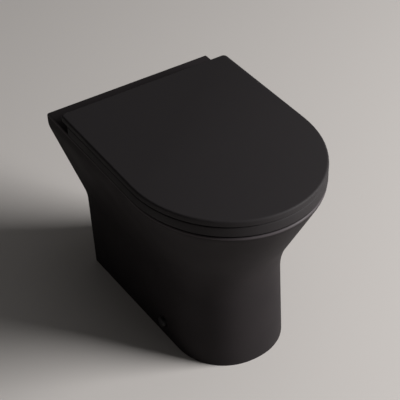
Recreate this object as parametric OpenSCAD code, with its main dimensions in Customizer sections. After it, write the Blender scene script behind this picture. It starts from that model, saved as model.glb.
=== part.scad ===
// Back-to-wall WC pan with a slim soft-close seat and lid, and its hinges, floor brackets and fixings.
// Millimetres, +Z up, front towards -Y. The origin is on the floor, midway between the wall face
// and the front of the lid. Distances called "setback" are measured from the wall face.

/* [Pan outside] */
// Width of the rim and of the deck behind it
rim_width = 360; // [345:1:380]
// Setback of the front of the rim
rim_depth = 549; // [530:1:570]
// Height of the rim above the floor
pan_height = 400; // [390:1:420]
// Setback at which the straight sides of the rim turn into its curved front
rim_turn = 338; // [320:1:350]
// Width of the plinth at the wall
plinth_width = 237; // [225:1:250]
// Width of the plinth where its curved front starts
plinth_front_width = 219; // [205:1:225]
// Setback of the front of the plinth
plinth_depth = 436; // [425:1:450]
// Setback at which the plinth's front starts to curve
plinth_turn = 320; // [300:1:330]
// Height of the neck at the wall, where the sides start to flare
side_neck = 180; // [170:1:190]
// Height of the neck at the front
front_neck = 207; // [200:1:215]
// Height at which the side flare meets the upright band below the deck
side_band = 374; // [365:1:380]
// Height at which the front flare meets the rim
front_band = 394; // [388:1:395]
// Half the height of the blend at the side neck
side_blend = 15; // [5:1:25]
// Half the height of the blend at the front neck
front_blend = 50; // [20:1:60]
// Radius of the top edge of the rim
rim_edge = 4; // [2:0.5:6]
// Thickness of the outer walls
pan_wall = 11; // [8:0.5:13]
// Thickness of the deck and rim
deck_thickness = 14; // [10:1:16]

/* [Bowl, trap and flush] */
// Width of the rim's top on each side of the bowl
rim_land = 41; // [38:0.5:50]
// Setback of the front of the bowl at the rim
bowl_front = 494; // [480:1:496]
// Setback of the back of the bowl at the rim
bowl_back = 192; // [185:1:200]
// Width of the sump at the bottom of the bowl
sump_width = 84; // [82:1:90]
// Setback of the front of the sump
sump_front = 346; // [338:1:354]
// Setback of the back of the sump
sump_back = 270; // [264:1:276]
// Thickness of the bowl's and the trap's walls
bowl_wall = 8; // [7:0.5:9]
// Radius of the rounded edge of the bowl's mouth
bowl_edge = 5; // [2:0.5:6]
// Inside radius of the trapway
trap_bore_r = 39; // [36:0.5:40]
// Height of the centre of the outlet above the floor
outlet_height = 180; // [175:1:185]
// Outside radius of the outlet spigot
outlet_r = 51; // [50:0.5:52]
// Setback of the end of the outlet spigot
outlet_setback = 10; // [4:1:14]
// Length of the outlet spigot
outlet_length = 40; // [34:1:42]
// Bend radius of the weir and of the outlet bend
weir_r = 51; // [50:0.5:54]
// Depth of the water seal
water_seal = 50; // [48:1:54]
// Height of the centre of the flush inlet
inlet_height = 345; // [340:1:346]
// Radius of the flush inlet's bore
inlet_bore_r = 27.5; // [25:0.5:28]
// Thickness of the inlet collar's wall
inlet_wall = 9; // [7:0.5:10]
// Setback of the mouth of the flush inlet
inlet_setback = 12; // [6:1:16]
// Length of the flush inlet's bore
inlet_length = 40; // [35:1:42]
// Width of the flush duct
duct_width = 72; // [60:1:80]
// Height of the flush duct
duct_height = 28; // [20:1:28]

/* [Seat and lid] */
// How far the lid stands out past each side of the rim
lid_side_overhang = 2; // [0.5:0.5:6]
// How far the lid stands out past the front of the rim
lid_overhang = 1; // [0:0.5:4]
// Setback of the lid's back edge
lid_back = 69; // [66:1:72]
// Height of the lid from its lip to its top
lid_height = 12; // [10:0.5:14]
// Thickness of the lid's shell
lid_shell = 3.5; // [3:0.25:4]
// Radius of the lid's top edge
lid_edge = 4; // [2:0.5:5]
// Radius of the lid's back corners, seen from above
lid_corner = 9; // [6:1:14]
// Height of the seat ring
seat_height = 20; // [19:0.5:22]
// How far the seat stays inside the lid's outline
seat_inset = 0.8; // [0:0.1:2]
// Gap between the rim and the seat
seat_gap = 3; // [2.5:0.25:4]
// Gap between the seat and the lip of the lid
lid_gap = 2; // [1.5:0.25:3]
// Width of the opening in the seat
seat_opening_width = 220; // [200:1:240]
// Setback of the back of the seat's opening
seat_opening_back = 215; // [205:1:230]
// Setback of the front of the seat's opening
seat_opening_front = 489; // [475:1:492]
// Radius of the seat's top outer edge
seat_edge = 2.5; // [1.5:0.5:4]
// How much lower the seat's inner edge lies than its outer edge
seat_dish = 4; // [2:0.5:6]
// Thickness of the seat's shell over the hollow in its underside
seat_shell = 6; // [4:0.5:7]

/* [Hinges] */
// Distance between the two seat posts
post_spacing = 155; // [150:1:160]
// Setback of the hinge axis
axis_setback = 84.3; // [83:0.1:86]
// Height of the hinge axis above the deck
axis_height = 19; // [18.8:0.1:19.5]
// Distance from the hinge axis forward to the posts
post_forward = 14; // [13:0.5:15]
// Radius of the hinge barrels
barrel_r = 11.5; // [11:0.25:11.5]
// Width of each hinge block
block_width = 43; // [41:1:45]
// Width of each plain knuckle
knuckle_width = 13; // [12:1:14]
// Width of each barrel that holds a damper
damper_barrel_width = 36; // [34:1:38]
// Gap between neighbouring knuckles along the axis
knuckle_gap = 1; // [0.5:0.25:1.5]
// Radius of the damper shaft
shaft_r = 4; // [3.5:0.25:4]
// Radial clearance of the shafts in the bores that turn on them
running_gap = 0.05; // [0.03:0.01:0.08]
// Radius of a damper's body
damper_r = 7.5; // [7:0.25:8]
// Travel of the release buttons
button_travel = 3; // [2.5:0.25:3.5]
// Radius of the posts' heads
post_head_r = 6; // [5.5:0.25:6.5]
// Radius of the posts' necks
post_neck_r = 4; // [3.5:0.25:4.25]
// Radius of the posts' flanges
post_flange_r = 16.5; // [15:0.5:16.5]
// Radius of the deck holes under the posts
deck_hole_r = 7; // [6.5:0.25:8]

/* [Floor fixings] */
// Setback of the side fixing screws
fixing_setback = 277; // [250:1:300]
// Height of the side fixing screws
fixing_height = 33; // [28:1:40]
// Radius of the holes in the plinth for the side screws
fixing_hole_r = 6.5; // [6:0.25:7]
// Radius of the caps over the side screws
cap_r = 11.5; // [11:0.25:13]
// How far the caps stand off the plinth
cap_height = 8; // [7:0.5:10]
// Distance between the floor-screw holes of a bracket
bracket_hole_spacing = 32; // [28:1:40]
// Radius of the floor-screw holes
bracket_hole_r = 4; // [3.5:0.25:4.5]
// Thickness of the brackets' steel
bracket_steel = 3; // [2:0.5:4]
// Radius of the screws' threads
screw_r = 3; // [2.5:0.25:3]

/* [Hidden] */

eps = 0.01;
// The number of sides of every true circle.
$fn = 96;

ceramic_colour = "#2b2829";
plastic_colour = "#232122";
rubber_colour = "#3a3a3c";
steel_colour = "#b9bcc0";
brass_colour = "#b59a58";
nylon_colour = "#d9d6cf";

bowl_width = rim_width - 2 * rim_land;
lid_width = rim_width + 2 * lid_side_overhang;
lid_reach = rim_depth + lid_overhang;
wall_y = lid_reach / 2;

// How full the plinth's and the seat opening's curves are, where 2 is a true ellipse.
plinth_fullness = 2.14;
opening_fullness = 2.3;
// Half the heights of the small blends under the deck and the rim.
side_band_blend = 8;
front_band_blend = 5;

// Heights above the floor.
seat_bottom = pan_height + seat_gap;
seat_top = seat_bottom + seat_height;
lid_bottom = seat_top + lid_gap;
lid_top = lid_bottom + lid_height;
lid_ceiling = lid_top - lid_shell;
axis_z = pan_height + axis_height;
deck_under = pan_height - deck_thickness;

// The trapway runs from the sump, over the weir and down to the outlet.
trap_tube_r = trap_bore_r + bowl_wall;
outlet_turn = outlet_setback + outlet_length;
trap_level = outlet_height + weir_r;
down_leg = outlet_turn + weir_r;
up_leg = down_leg + 2 * weir_r;
weir_invert = trap_level + weir_r - trap_bore_r;
weir_top = trap_level + weir_r + trap_tube_r;
mouth_z = weir_invert - water_seal - trap_bore_r;
mouth_bend_r = trap_level - mouth_z;
mouth_setback = up_leg + mouth_bend_r;
sump_floor = mouth_z - trap_bore_r;
mouth_overlap = 20;

duct_top = pan_height - deck_thickness - bowl_wall - 4;
duct_floor = duct_top - duct_height;
// How far the duct is carried forward of the rim's back, past the bowl's sloping wall.
duct_overlap = 60;
duct_end = bowl_back + duct_overlap;

// Positions across the pan, from the centre line outwards, of what sits on one hinge axis.
post_x = post_spacing / 2;
block_in = post_x - block_width / 2;
block_out = block_in + block_width;
knuckle_in = block_out + knuckle_gap;
knuckle_out = knuckle_in + knuckle_width;
damper_barrel_in = knuckle_out + knuckle_gap;
damper_barrel_out = damper_barrel_in + damper_barrel_width;
notch_half = damper_barrel_out + 1.5;
post_setback = axis_setback + post_forward;
notch_front = post_setback + post_flange_r + 3;
shaft_grip = 33;
shaft_flat = 2.6;
flat_cut = 10;
shaft_reach = 18;
damper_length = 30;
damper_in = damper_barrel_out - damper_length;

// The stack on the deck, from the gasket up.
gasket_h = 1.5;
flange_h = 3;
flange_top = pan_height + gasket_h + flange_h;
slider_gap = 0.3;
slider_h = 3;
block_floor = 2;
slider_z = flange_top + block_floor + slider_gap;
slot_h = slider_h + 2 * slider_gap;
head_h = 2.2;
head_z = slider_z + slider_h + slider_gap * 2;
plug_length = 28;
plug_nut_h = 10;
fit_gap = 0.3;
thread_gap = 0.05;

// The release slider, measured from the post's centre towards the centre line.
slider_width = 20;
slider_end = 10.5;
button_out = 4;
button_depth = 6;
button_width = 22;
button_height = 9;
button_z = slider_z - 1;
spring_end_wall = 2.5;
spring_r = 1.3;
spring_wire_r = 0.3;
spring_turns = 5;

// The side fixings lie on a flat that is ground into the tapered plinth.
fixing_y = wall_y - fixing_setback;
flat_depth = 0.4;
fixing_x = half_at_setback(0, fixing_setback) - flat_depth;
washer_r = cap_r - 1.5;
washer_h = 2;
screw_head_r = 5.5;
screw_head_h = 3.5;
screw_tip = 4;
screw_chamfer = 1.2;
screw_socket_r = 2.4;
washer_collar = 7;
bracket_stand_off = 1.5;
bracket_x = fixing_x - pan_wall - bracket_stand_off;
bracket_length = 58;
bracket_foot = 44;
bracket_rise = fixing_height + 14;
bracket_hole_in = 26.4;
web_foot = 24;
web_rise = bracket_rise - 12;
bracket_nut_r = 6;
bracket_nut_length = 14;
nut_collar_r = 8;
nut_collar_h = 1.2;

// ---- Outline functions ----

function mix(a, b, t) = a + (b - a) * t;
// A ramp that leaves zero at z0, rounded over the blend's height on both sides.
function ramp(z, z0, blend) =
  z <= z0 - blend ? 0 : z >= z0 + blend ? z - z0 : pow(z - z0 + blend, 2) / (4 * blend);
// From 0 at the neck to 1 at the band, straight between the two blends.
function flare(z, neck, neck_blend, band, band_blend) =
  (ramp(z, neck, neck_blend) - ramp(z, band, band_blend)) / (band - neck);
function side_flare(z) = flare(z, side_neck, side_blend, side_band, side_band_blend);
function front_flare(z) = flare(z, front_neck, front_blend, front_band, front_band_blend);

function half_at_wall(z) = mix(plinth_width, rim_width, side_flare(z)) / 2;
function half_at_turn(z) = mix(plinth_front_width, rim_width, front_flare(z)) / 2;
function turn_at(z) = mix(plinth_turn, rim_turn, front_flare(z));
function reach_at(z) = mix(plinth_depth, rim_depth, front_flare(z));
function half_at_setback(z, d) = mix(half_at_wall(z), half_at_turn(z), d / turn_at(z));

// A point of an ellipse, drawn fuller than a true one when the power is over 2.
function fuller(c, power) = sign(c) * pow(abs(c), 2 / power);
// A plan point given by its distance from the centre line and its setback, at a height.
function at(x, setback, z) = [x, wall_y - setback, z];

// One level of the pan's outside, moved in by an inset, from the wall round the front and back.
arc_steps = 36;
side_steps = 4;
function pan_ring(z, inset, back, level) =
  let (
    w0 = half_at_wall(z) - inset,
    w1 = half_at_turn(z) - inset,
    s = turn_at(z),
    r = reach_at(z) - inset - s,
    power = mix(plinth_fullness, 2, front_flare(z))
  )
  concat(
    [for (i = [0 : side_steps - 1])
      let (t = i / side_steps) at(mix(w0, w1, t), mix(back, s, t), level)],
    [for (i = [0 : arc_steps])
      let (a = 180 * i / arc_steps)
      at(w1 * fuller(cos(a), power), s + r * fuller(sin(a), power), level)],
    [for (i = [side_steps - 1 : -1 : 0])
      let (t = i / side_steps) at(-mix(w0, w1, t), mix(back, s, t), level)]
  );

// One level of the bowl, at a share t of its height, which narrows from its mouth down to the sump.
// A higher draw keeps a wall upright for longer, and the lowest part is drawn in to a rounded bottom.
bowl_steps = 40;
side_draw = 1.55;
front_draw = 1.35;
back_draw = 3;
bottom_share = 0.12;
bottom_inset = 16;
bottom_width = 0.35;
function bowl_ring(t, grow, z) =
  let (
    open = sin(90 * t),
    foot = t < bottom_share ? sqrt(1 - pow(1 - max(t, bottom_share / 10) / bottom_share, 2)) : 1,
    w = mix(sump_width, bowl_width, pow(open, side_draw)) / 2 * mix(bottom_width, 1, foot) + grow,
    f = mix(sump_front, bowl_front, pow(open, front_draw)) - bottom_inset * (1 - foot) + grow,
    b = mix(sump_back, bowl_back, pow(t, back_draw)) + bottom_inset * (1 - foot) - grow
  )
  [for (i = [0 : bowl_steps - 1])
    let (a = 360 * i / bowl_steps)
    at(w * cos(a), (f + b) / 2 + (f - b) / 2 * sin(a), z)];

// The closed plan outline of the lid and seat: a curved front, straight sides and round back corners.
corner_steps = 4;
back_steps = 8;
function lid_outline(back, inset) =
  let (
    w = lid_width / 2 - inset,
    s = rim_turn + 2,
    r = lid_reach - inset - s,
    c = max(lid_corner - inset, 1),
    b = back + inset,
    straight = s - b - c
  )
  concat(
    [for (i = [0 : arc_steps]) let (a = 180 * i / arc_steps) [w * cos(a), s + r * sin(a)]],
    [for (i = [1 : side_steps]) [-w, s - straight * i / side_steps]],
    [for (i = [1 : corner_steps])
      let (a = 90 * i / corner_steps) [-(w - c + c * cos(a)), b + c - c * sin(a)]],
    [for (i = [1 : back_steps - 1]) [mix(-(w - c), w - c, i / back_steps), b]],
    [for (i = [corner_steps : -1 : 1])
      let (a = 90 * i / corner_steps) [w - c + c * cos(a), b + c - c * sin(a)]],
    [for (i = [side_steps : -1 : 1]) [w, s - straight * i / side_steps]]
  );

// The point of the seat's opening in the direction of a plan point, with the opening grown.
function opening_point(p, grow) =
  let (
    c = (seat_opening_front + seat_opening_back) / 2,
    l = (seat_opening_front - seat_opening_back) / 2 + grow,
    w = seat_opening_width / 2 + grow,
    u = p[0] / w,
    v = (p[1] - c) / l,
    k = pow(pow(abs(u), opening_fullness) + pow(abs(v), opening_fullness), -1 / opening_fullness)
  )
  [p[0] * k, c + (p[1] - c) * k];

function lifted(outline, z) = [for (p = outline) at(p[0], p[1], z)];

// ---- Building blocks ----

// The middle of a ring's points.
function middle(ring) = [for (axis = [0 : 2]) sum([for (p = ring) p[axis]]) / len(ring)];
function sum(list, i = 0) = i == len(list) ? 0 : list[i] + sum(list, i + 1);

// The two triangles between two rings at their point i, where the rings' first points are a and b.
function strip(a, b, i, n) = let (j = (i + 1) % n) [[a + i, a + j, b + j], [a + i, b + j, b + i]];

// A solid through a list of rings that all have the same number of points, closed by a fan at each end.
module loft(rings) {
  n = len(rings[0]);
  m = len(rings);
  polyhedron(
    points = concat([for (ring = rings) for (p = ring) p], [middle(rings[0]), middle(rings[m - 1])]),
    faces = concat(
      [for (i = [0 : n - 1]) [(i + 1) % n, i, m * n]],
      [for (k = [0 : m - 2]) for (i = [0 : n - 1]) for (face = strip(k * n, (k + 1) * n, i, n)) face],
      [for (i = [0 : n - 1]) [(m - 1) * n + i, (m - 1) * n + (i + 1) % n, m * n + 1]]
    ),
    convexity = 8
  );
}

// A closed ring swept through a loop of section points.
module ring_loft(rings) {
  n = len(rings[0]);
  m = len(rings);
  polyhedron(
    points = [for (ring = rings) for (p = ring) p],
    faces = [for (k = [0 : m - 1]) for (i = [0 : n - 1])
      for (face = strip(k * n, (k + 1) % m * n, i, n)) face],
    convexity = 8
  );
}

// Draws its child at the right, or mirrored at the left.
module on_side(side) {
  mirror([side == "left" ? 1 : 0, 0, 0]) children();
}

// A box from a low to a high corner, with setbacks instead of Y.
module block_from(x0, x1, setback0, setback1, z0, z1) {
  translate([x0, wall_y - setback1, z0]) cube([x1 - x0, setback1 - setback0, z1 - z0]);
}

// A cylinder along +X at a setback and height.
module along_x(x0, x1, setback, z, r) {
  translate([x0, wall_y - setback, z]) rotate([0, 90, 0]) cylinder(h = x1 - x0, r = r);
}

// A cylinder along the depth, between two setbacks.
module along_y(setback0, setback1, z, r) {
  translate([0, wall_y - setback0, z]) rotate([90, 0, 0]) cylinder(h = setback1 - setback0, r = r);
}

// A cylinder standing at a place on the plan.
module upright(x, setback, z0, z1, r) {
  translate([x, wall_y - setback, z0]) cylinder(h = z1 - z0, r = r);
}

// A bend of the trapway: a quarter turn, or more, of a round bar about an axis across the pan.
module bend(setback, z, bend_r, bar_r, from, sweep) {
  translate([0, wall_y - setback, z])
    rotate([0, -90, 0]) rotate([0, 0, from])
      rotate_extrude(angle = sweep) translate([bend_r, 0]) circle(r = bar_r);
}

// An oblong pad, with its length along X.
module oblong(length, width, height) {
  translate([-(length - width) / 2, -width / 2, 0]) cube([length - width, width, height]);
  for (s = [-1, 1]) translate([s * (length - width) / 2, 0, 0]) cylinder(h = height, r = width / 2);
}

// ---- The pan ----

// Heights between which the outside changes its curve, and how many levels lie between them.
neck_low = front_neck - front_blend;
neck_high = front_neck + front_blend;
band_low = side_band - side_band_blend;
rim_low = pan_height - rim_edge;
neck_steps = 10;
flare_steps = 6;
band_steps = 5;
outer_levels = concat([0],
  [for (i = [0 : neck_steps]) mix(neck_low, neck_high, i / neck_steps)],
  [for (i = [1 : flare_steps]) mix(neck_high, band_low, i / flare_steps)],
  [for (i = [1 : band_steps - 1]) mix(band_low, rim_low, i / band_steps)]);
edge_steps = 4;

module pan_outside() {
  loft(concat(
    [for (z = outer_levels) pan_ring(z, 0, 0, z)],
    [for (i = [0 : edge_steps])
      let (a = 90 * i / edge_steps)
      pan_ring(pan_height, rim_edge * (1 - cos(a)), 0, pan_height - rim_edge * (1 - sin(a)))]
  ));
}

module pan_cavity() {
  mid_levels = [neck_low, side_neck + side_blend, neck_high, band_low];
  loft(concat(
    [pan_ring(0, pan_wall, -1, -1)],
    [for (z = mid_levels) pan_ring(z, pan_wall, -1, z)],
    [pan_ring(deck_under, pan_wall, -1, deck_under)]
  ));
}

bowl_levels = [0, 0.03, 0.07, 0.12, 0.2, 0.3, 0.4, 0.5, 0.6, 0.7, 0.8, 0.9];
function bowl_z(t) = mix(sump_floor, pan_height, t);

module bowl_outside() {
  loft(concat(
    [for (t = bowl_levels) bowl_ring(t, bowl_wall, bowl_z(t) - bowl_wall * (1 - t))],
    [bowl_ring((deck_under - sump_floor) / (pan_height - sump_floor), bowl_wall, deck_under)]
  ));
}

// The bowl's mouth, rounded over at the top.
mouth_t = 1 - bowl_edge / (pan_height - sump_floor);
mouth_rings = concat(
  [for (i = [0 : edge_steps])
    let (a = 90 * i / edge_steps)
    bowl_ring(mouth_t, bowl_edge * (1 - cos(a)), pan_height - bowl_edge * (1 - sin(a)))],
  [bowl_ring(mouth_t, bowl_edge, pan_height + 1)]
);
function bowl_inside_ring(t) = bowl_ring(t, 0, bowl_z(t));

module bowl_inside() {
  loft(concat([for (t = bowl_levels) bowl_inside_ring(t)], mouth_rings));
}

module bowl_mouth() {
  loft(concat([bowl_inside_ring(bowl_levels[len(bowl_levels) - 1])], mouth_rings));
}

// The trapway as a bar of the given radius: the wall's outside, or the water's way.
module trap(bar_r, into_sump) {
  along_y(mouth_setback, mouth_setback + into_sump, mouth_z, bar_r);
  bend(mouth_setback, trap_level, mouth_bend_r, bar_r, 180, -90);
  bend(down_leg + weir_r, trap_level, weir_r, bar_r, -90, 180);
  bend(outlet_turn, trap_level, weir_r, bar_r, 180, 90);
}

// The flush water's way through the duct and on through the bowl's back wall.
module duct_way() {
  block_from(-duct_width / 2, duct_width / 2, inlet_setback + inlet_length, duct_end, duct_floor, duct_top);
}

// The pan is cast in sections, which are stuck together with slip before it is glazed and fired.
// The first is the shell: the skirt, the deck and the rim round the bowl's mouth.
module pan_shell() {
  color(ceramic_colour)
  difference() {
    pan_outside();
    pan_cavity();
    bowl_outside();
    bowl_mouth();
    for (side = [-1, 1]) {
      upright(side * post_x, post_setback, deck_under - 1, pan_height + 1, deck_hole_r);
      translate([side * fixing_x, fixing_y, fixing_height]) rotate([0, side * 90, 0]) {
        translate([0, 0, -pan_wall - 4]) cylinder(h = pan_wall + 8, r = fixing_hole_r);
        cylinder(h = 4, r = cap_r + 0.5);
      }
    }
  }
}

// The bowl hangs from the underside of the deck, and opens at the back into the duct and the trapway.
module bowl() {
  color(ceramic_colour)
  difference() {
    bowl_outside();
    bowl_inside();
    trap(trap_bore_r, mouth_overlap);
    duct_way();
  }
}

// The trapway starts on the back of the bowl and ends at the outlet spigot. It is cast in two halves.
module trapway_half() {
  color(ceramic_colour)
  difference() {
    trap(trap_tube_r, 0);
    trap(trap_bore_r, mouth_overlap);
    bowl_outside();
    block_from(-trap_tube_r - 1, 0, outlet_turn - 1, mouth_setback + 1,
      sump_floor - bowl_wall - 1, weir_top + 1);
  }
}

module outlet_spigot() {
  color(ceramic_colour)
  difference() {
    along_y(outlet_setback, outlet_turn, outlet_height, outlet_r);
    along_y(outlet_setback - 1, outlet_turn + 1, outlet_height, trap_bore_r);
  }
}

// The flush duct runs under the deck from the inlet collar to the bowl's back wall.
module flush_duct() {
  outer = duct_width / 2 + bowl_wall;
  color(ceramic_colour)
  difference() {
    union() {
      along_y(inlet_setback, inlet_setback + inlet_length + inlet_wall, inlet_height,
        inlet_bore_r + inlet_wall);
      block_from(-outer, outer, inlet_setback + inlet_length - inlet_wall, duct_end,
        duct_floor - bowl_wall, deck_under);
    }
    along_y(inlet_setback - 1, inlet_setback + inlet_length, inlet_height, inlet_bore_r);
    duct_way();
    bowl_outside();
    trap(trap_tube_r, 0);
  }
}

// The insert in the mouth of the duct, which splits the flush into a centre jet and two side jets.
spreader_back = bowl_back + 2;
spreader_depth = 14;
vane = 3;
centre_jet = 20;
side_jet = 14;
side_jet_x = 23;
side_jet_turn = 24;
module flush_spreader() {
  w = duct_width / 2 - fit_gap;
  jet_z = duct_floor + vane;
  jet_height = duct_height - 2 * vane;
  color(plastic_colour)
  difference() {
    block_from(-w, w, spreader_back, spreader_back + spreader_depth, duct_floor, duct_top - fit_gap);
    block_from(-centre_jet / 2, centre_jet / 2, spreader_back - 1, spreader_back + spreader_depth + 1,
      jet_z, jet_z + jet_height);
    for (side = [-1, 1])
      translate([side * side_jet_x, wall_y - spreader_back - spreader_depth / 2, jet_z])
        rotate([0, 0, side * side_jet_turn]) translate([-side_jet / 2, -spreader_depth, 0])
          cube([side_jet, 2 * spreader_depth, jet_height]);
  }
}

// ---- The seat ----

seat_back = axis_setback + 3;
function seat_outer(inset, z) = lifted(lid_outline(seat_back, seat_inset + inset), z);
function seat_inner(grow, z) =
  lifted([for (p = lid_outline(seat_back, seat_inset)) opening_point(p, grow)], z);

seat_pad_length = 26;
seat_pad_width = 10;
pad_pin_r = 2;
pad_pin_h = 6;
pad_pin_x = 7;
pad_inset = 14;
pad_boss = 3;
front_pad_angle = 62;
// The places of the pads under the seat: X, setback and turn about Z.
function front_pad(inset) = [
  (lid_width / 2 - inset) * cos(front_pad_angle),
  rim_turn + 2 + (lid_reach - rim_turn - 2 - inset) * sin(front_pad_angle),
  90 - front_pad_angle
];
back_pad = [lid_width / 2 - pad_inset - 4, seat_opening_back - 20, 90];

module at_pads(places) {
  for (side = [-1, 1]) for (p = places)
    translate([side * p[0], wall_y - p[1], 0]) rotate([0, 0, side * p[2]]) children();
}

module seat_pad_pins(r, h) {
  for (s = [-1, 1]) translate([s * pad_pin_x, 0, seat_bottom - eps]) cylinder(h = h + eps, r = r);
}

// The hollow in the seat's underside, with a boss left standing over each pad and two ribs across each side.
rib_spacing = 70;
module seat_hollow() {
  top = seat_top - seat_dish - seat_shell;
  rim = lid_outline(notch_front + seat_shell, seat_inset + seat_shell);
  bore = [for (p = rim) opening_point(p, seat_shell)];
  difference() {
    ring_loft([
      lifted(bore, top), lifted(bore, seat_bottom - 1), lifted(rim, seat_bottom - 1), lifted(rim, top)
    ]);
    at_pads([front_pad(pad_inset), back_pad])
      translate([0, 0, seat_bottom - 2])
        oblong(seat_pad_length + 2 * pad_boss, seat_pad_width + 2 * pad_boss, top - seat_bottom + 3);
    for (d = [rim_turn - rib_spacing, rim_turn])
      block_from(-lid_width, lid_width, d, d + seat_shell / 2, seat_bottom - 2, top + 1);
  }
}

// A round barrel on the hinge axis, with a web that reaches forward into the seat.
module seat_barrel(x0, x1) {
  along_x(x0, x1, axis_setback, axis_z, barrel_r);
  block_from(x0, x1, axis_setback, notch_front + 1, axis_z - barrel_r, seat_top - seat_edge);
}

// The seat's section runs from its foot up the outside, over the flat land and the dish to the opening.
seat_foot = 1.5;
seat_land = 24;
bore_round = 5;
module seat_ring() {
  dish_z = seat_top - seat_dish;
  color(plastic_colour)
  difference() {
    union() {
      difference() {
        ring_loft(concat(
          [seat_outer(seat_foot, seat_bottom), seat_outer(0, seat_bottom + seat_foot)],
          [for (a = [0, 30, 60, 90])
            seat_outer(seat_edge * (1 - cos(a)), seat_top - seat_edge * (1 - sin(a)))],
          [seat_outer(seat_land, seat_top), seat_inner(2 * bore_round, mix(seat_top, dish_z, 0.5))],
          [for (a = [90, 60, 30, 0])
            seat_inner(bore_round * (1 - cos(a)), dish_z - bore_round * (1 - sin(a)))],
          [seat_inner(0, seat_bottom + 2 * seat_foot), seat_inner(2 * seat_foot, seat_bottom)]
        ));
        block_from(-notch_half, notch_half, seat_back - 10, notch_front, seat_bottom - 1, seat_top + 1);
        seat_hollow();
      }
      seat_barrel(-knuckle_out, -knuckle_in);
      seat_barrel(damper_barrel_in, damper_barrel_out);
    }
    along_x(-knuckle_out - 1, -knuckle_in + 1, axis_setback, axis_z, shaft_r + running_gap);
    along_x(damper_barrel_in - 1, damper_barrel_out + 1, axis_setback, axis_z, shaft_r + running_gap);
    damper_body(thread_gap);
    at_pads([front_pad(pad_inset), back_pad]) seat_pad_pins(pad_pin_r + thread_gap, pad_pin_h + 1);
  }
}

module seat_buffers() {
  color(rubber_colour)
  at_pads([front_pad(pad_inset), back_pad]) {
    translate([0, 0, pan_height]) oblong(seat_pad_length, seat_pad_width, seat_gap);
    seat_pad_pins(pad_pin_r, pad_pin_h);
  }
}

// ---- The lid ----

function lid_at(inset, z) = lifted(lid_outline(lid_back, inset), z);

lid_pad_h = lid_ceiling - seat_top;
lip_chamfer = 0.6;
// How far each lid barrel's web reaches behind and ahead of the hinge axis.
web_back = 8;
web_front = 10;

// A round barrel on the hinge axis, with a web up to the underside of the lid.
module lid_barrel(x0, x1) {
  along_x(x0, x1, axis_setback, axis_z, barrel_r);
  block_from(x0, x1, axis_setback - web_back, axis_setback + web_front, axis_z, lid_ceiling + 1);
}

module lid() {
  color(plastic_colour)
  difference() {
    union() {
      loft(concat(
        [lid_at(lid_shell + 1, lid_ceiling), lid_at(lid_shell, lid_ceiling - 1)],
        [lid_at(lid_shell, lid_bottom), lid_at(lip_chamfer, lid_bottom), lid_at(0, lid_bottom + lip_chamfer)],
        [for (i = [0 : edge_steps])
          let (a = 90 * i / edge_steps)
          lid_at(lid_edge * (1 - cos(a)), lid_top - lid_edge * (1 - sin(a)))]
      ));
      lid_barrel(-damper_barrel_out, -damper_barrel_in);
      lid_barrel(knuckle_in, knuckle_out);
    }
    along_x(-damper_barrel_out - 1, -damper_barrel_in + 1, axis_setback, axis_z, shaft_r + running_gap);
    along_x(knuckle_in - 1, knuckle_out + 1, axis_setback, axis_z, shaft_r + running_gap);
    on_side("left") damper_body(thread_gap);
  }
}

lid_pad_length = 20;
lid_pad_width = 8;
module lid_buffers() {
  color(rubber_colour)
  at_pads([front_pad(pad_inset)])
    translate([0, 0, seat_top]) oblong(lid_pad_length, lid_pad_width, lid_pad_h);
}

// ---- The hinges ----

// A damper's body with its flat, or with a gap the room for it in the outer end of its barrel.
damper_flat = 1.5;
module damper_body(gap) {
  r = damper_r + gap;
  intersection() {
    along_x(damper_in, damper_barrel_out + gap, axis_setback, axis_z, r);
    block_from(damper_in, damper_barrel_out + gap, axis_setback - r, axis_setback + r,
      axis_z - r, axis_z + r - damper_flat);
  }
}

module damper() {
  color(nylon_colour)
  difference() {
    damper_body(0);
    along_x(damper_in - 1, damper_in + shaft_reach + fit_gap, axis_setback, axis_z, shaft_r + running_gap);
  }
}

module lid_damper() { on_side("left") damper(); }
module seat_damper() { on_side("right") damper(); }

// A shaft that is held by its flat in the hinge block and turned on by the knuckle and the damper.
module damper_shaft() {
  color(steel_colour)
  difference() {
    along_x(block_out - shaft_grip, damper_in + shaft_reach, axis_setback, axis_z, shaft_r);
    block_from(block_out - shaft_grip - 1, block_out - 1, axis_setback - flat_cut, axis_setback + flat_cut,
      axis_z + shaft_flat, axis_z + flat_cut);
  }
}

module lid_damper_shaft() { on_side("left") damper_shaft(); }
module seat_damper_shaft() { on_side("right") damper_shaft(); }

// The keyhole plate's place: its wide hole meets the post's head when the button is pressed.
module slider_outline(grow) {
  translate([post_x, wall_y - post_setback]) {
    difference() {
      translate([block_in - post_x - 1, -slider_width / 2 - grow])
        square([post_x - block_in + 1 + slider_end + grow, slider_width + 2 * grow]);
      if (grow == 0) {
        translate([-button_travel, 0]) circle(r = post_head_r + fit_gap);
        translate([-button_travel, -post_neck_r - fit_gap])
          square([button_travel, 2 * (post_neck_r + fit_gap)]);
        circle(r = post_neck_r + fit_gap);
      }
    }
  }
}

spring_x = post_x + slider_end;
spring_length = block_out - spring_end_wall - spring_x;

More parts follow.
